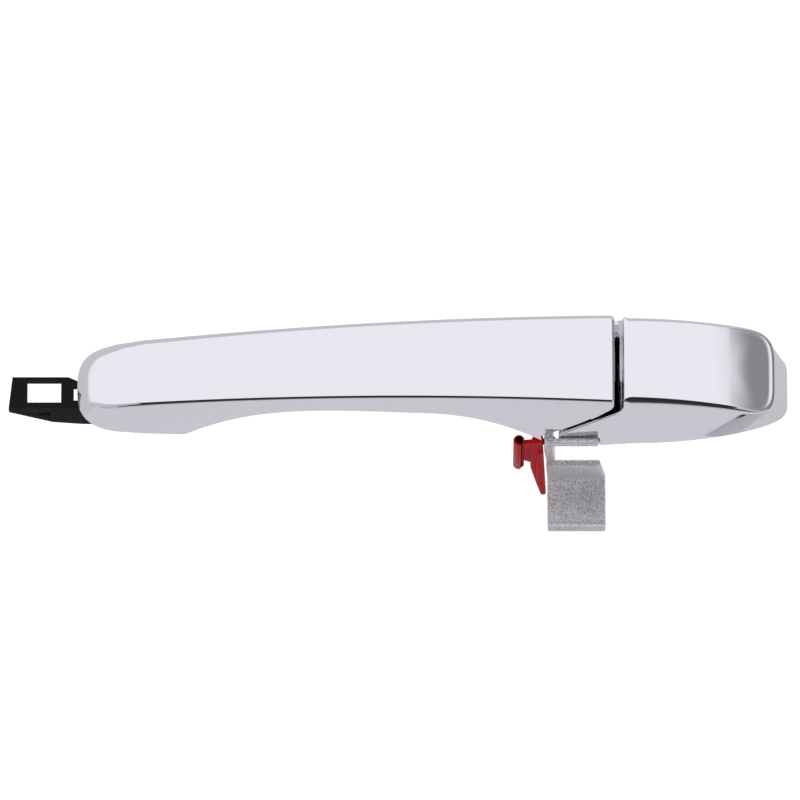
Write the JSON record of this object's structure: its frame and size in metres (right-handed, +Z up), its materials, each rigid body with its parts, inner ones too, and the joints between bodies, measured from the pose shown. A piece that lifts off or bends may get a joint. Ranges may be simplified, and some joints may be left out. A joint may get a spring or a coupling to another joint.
{
  "type": "car door handle",
  "caption": "Chrome strap handle for the outside of a car door: a pull grip that swings on a foot at its nose, with a steel hook behind its heel, and a fixed end cap.",
  "frame": {"origin": "on the flat back of the fixed cap's carrier, where it seats on the door skin", "axes": "+X along the handle towards the tail of the cap, -Y out of the door, +Z up"},
  "size_m": [0.2854, 0.0885, 0.0581],
  "materials": {
    "chrome_plate": "bright chrome plate on moulded plastic",
    "black_nylon": "moulded, slightly glossy",
    "zinc_steel": "bright zinc plate with a fine speckle",
    "red_acetal": "moulded, semi-gloss",
    "black_rubber": "matt",
    "screw_steel": "plated steel"
  },
  "bodies": {
    "cap": {"cap_cover": "chrome_plate", "cap_carrier": "black_nylon", "cap_gasket": "black_rubber", "cap_screw": "screw_steel", "cap_screw_clip": "zinc_steel", "cover_screw_1": "screw_steel", "cover_screw_2": "screw_steel"},
    "grip": {"grip_outer_shell": "chrome_plate", "grip_back_shell": "chrome_plate", "grip_core": "black_nylon", "heel_bumper": "black_rubber", "nose_pad": "black_rubber", "pivot_foot": "black_nylon", "foot_screw_1": "screw_steel", "foot_screw_2": "screw_steel", "pull_hook": "zinc_steel", "hook_screw_1": "screw_steel", "hook_screw_2": "screw_steel", "hook_clip": "red_acetal", "back_shell_screw_1": "screw_steel", "back_shell_screw_2": "screw_steel"}
  },
  "joints": [
    {"name": "grip_swing", "type": "hinge", "parent": "cap", "child": "grip", "pos_m": [-0.2456, 0.006, 0], "axis": [0, 0, -1], "range_deg": [0, 7.5], "stiffness_Nm_per_rad": 12, "springref_deg": -5.73}
  ]
}
